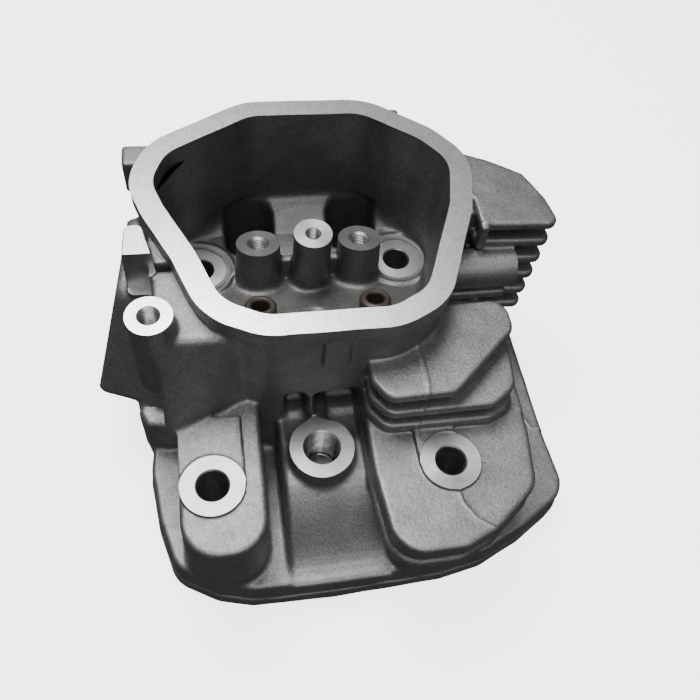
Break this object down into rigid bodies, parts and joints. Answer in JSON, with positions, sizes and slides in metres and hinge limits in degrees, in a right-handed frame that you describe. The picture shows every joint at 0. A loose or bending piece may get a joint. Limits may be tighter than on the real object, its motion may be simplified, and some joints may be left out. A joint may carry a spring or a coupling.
{
  "type": "small engine cylinder head",
  "caption": "Bare air-cooled overhead-valve cylinder head with a six-sided open rocker box, cooling fins, pressed-in valve guides and seats, and tapped stud bosses.",
  "frame": {"origin": "where the cylinder bore axis meets the gasket face, at the middle of the four head bolts", "axes": "+Z from the gasket face to the rocker cover along the bore axis, -Y towards the spark plug, -X towards the intake flange"},
  "size_m": [0.1833, 0.1762, 0.098],
  "materials": {
    "cast_aluminium": "as cast, with machined faces",
    "sintered_iron": "porous sintered",
    "seat_iron": "ground",
    "spring_steel": "drawn wire"
  },
  "bodies": {
    "root": {"gasket_deck": "cast_aluminium", "port_core": "cast_aluminium", "plug_deck": "cast_aluminium", "left_pad": "cast_aluminium", "right_pad": "cast_aluminium", "exhaust_flange": "cast_aluminium", "rocker_box": "cast_aluminium", "intake_flange": "cast_aluminium", "side_ledge": "cast_aluminium", "side_boss": "cast_aluminium", "facet_lug": "cast_aluminium", "front_fins": "cast_aluminium", "rear_fins": "cast_aluminium", "outlet_boss": "cast_aluminium", "rear_lugs": "cast_aluminium", "intake_stud_boss": "cast_aluminium", "exhaust_stud_boss": "cast_aluminium", "cover_boss": "cast_aluminium", "intake_guide": "sintered_iron", "exhaust_guide": "sintered_iron", "intake_clip": "spring_steel", "exhaust_clip": "spring_steel", "intake_seat": "seat_iron", "exhaust_seat": "seat_iron"}
  },
  "joints": []
}
